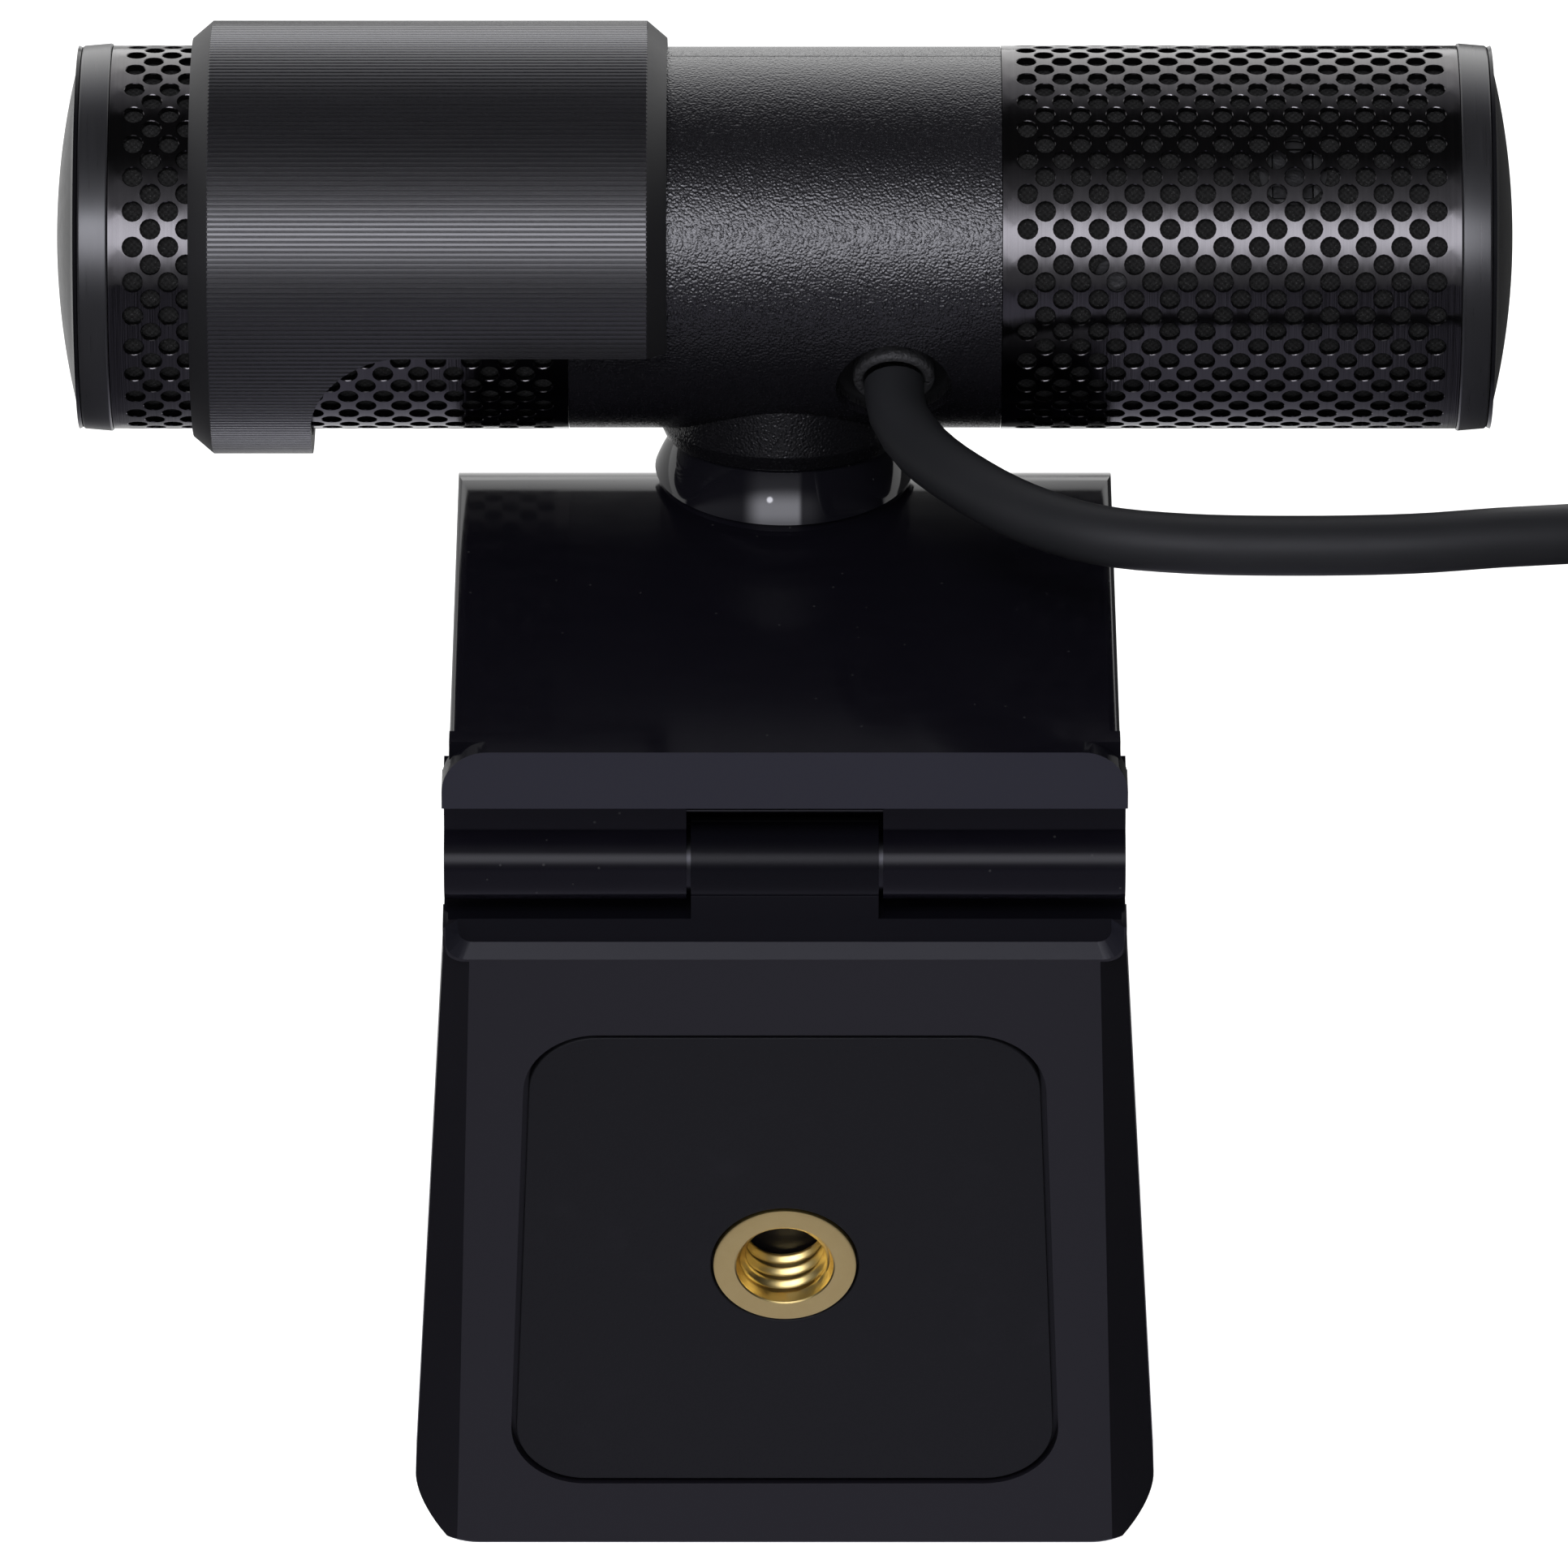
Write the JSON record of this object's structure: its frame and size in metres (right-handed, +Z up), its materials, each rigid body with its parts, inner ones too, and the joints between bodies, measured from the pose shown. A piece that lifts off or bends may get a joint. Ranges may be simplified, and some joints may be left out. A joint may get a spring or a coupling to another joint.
{
  "type": "webcam",
  "caption": "Tube-shaped webcam with a sliding privacy sleeve on a ball joint, on a fold-out monitor clip with a tripod thread; USB cable coiled at its side.",
  "frame": {"origin": "centre of the rubber rest pad's underside, which lies on the monitor's top edge", "axes": "+X along the camera tube to the right seen from behind, +Y where the lens looks, +Z up"},
  "size_m": [0.1241, 0.071, 0.1301],
  "materials": {
    "piano_black": "high gloss",
    "clip_black": "fine satin moulding",
    "cover_black": "fine spark texture",
    "pad_rubber": "matte silicone rubber",
    "head_black": "speckled soft-touch paint",
    "sleeve_black": "fine lengthwise ribs",
    "grille_metal": "polished dark perforated sheet",
    "cloth_black": "acoustic cloth and felt",
    "bright_trim": "turned satin ring",
    "chassis_black": "plain moulding",
    "lens_glass": "coated lens",
    "window_black": "smoked cover window",
    "board_green": "circuit board",
    "brass": "turned brass",
    "steel": "zinc-plated steel",
    "white_plastic": "acetal",
    "cable_black": "matte PVC jacket",
    "plug_steel": "nickel-plated shell"
  },
  "bodies": {
    "bracket": {"top_bracket": "piano_black", "lip_pad": "pad_rubber", "rest_pad": "pad_rubber", "hinge_pin": "steel", "hinge_washers": "steel", "ball_dome": "piano_black", "dome_screws": "steel"},
    "leg": {"leg_shell": "clip_black", "leg_inner_cover": "cover_black", "leg_grip_pad": "pad_rubber", "tripod_pad": "pad_rubber", "thread_insert": "brass", "leg_screws": "steel"},
    "swivel": {"friction_liner": "white_plastic"},
    "head": {"shell_rear": "head_black", "shell_front": "head_black", "neck_cup": "head_black", "grille_left": "grille_metal", "grille_right": "grille_metal", "cloth_left": "cloth_black", "cloth_right": "cloth_black", "trim_ring_left": "bright_trim", "trim_ring_right": "bright_trim", "end_cap_left": "piano_black", "end_cap_right": "piano_black", "chassis": "chassis_black", "lens_barrel": "chassis_black", "lens_glass": "lens_glass", "lens_bezel": "chassis_black", "lens_window": "window_black", "sensor_board": "board_green", "main_board": "board_green", "board_screws": "steel", "microphones": "brass", "status_led": "white_plastic", "cable_grommet": "cable_black", "clamp_screw": "steel", "clamp_springs": "steel", "clamp_washer": "white_plastic", "cable_lead": "cable_black", "cable_coil": "cable_black", "cable_tie": "cloth_black", "cable_tail": "cable_black", "usb_overmould": "cable_black", "usb_shell": "plug_steel", "usb_tongue": "white_plastic"},
    "sleeve": {"privacy_sleeve": "sleeve_black", "sleeve_felt": "cloth_black"}
  },
  "joints": [
    {"name": "pan", "type": "hinge", "parent": "bracket", "child": "swivel", "pos_m": [0, 0.017, 0.0004], "axis": [0, 0, 1], "continuous": true},
    {"name": "tilt", "type": "hinge", "parent": "swivel", "child": "head", "pos_m": [0, 0.017, 0.0004], "axis": [1, 0, 0], "range_deg": [-8, 14]},
    {"name": "shutter_slide", "type": "slide", "parent": "head", "child": "sleeve", "axis": [1, 0, 0], "range_m": [0, 0.023]},
    {"name": "leg_fold", "type": "hinge", "parent": "bracket", "child": "leg", "pos_m": [0, -0.0198, -0.0063], "axis": [1, 0, 0], "range_deg": [-25, 50]}
  ]
}
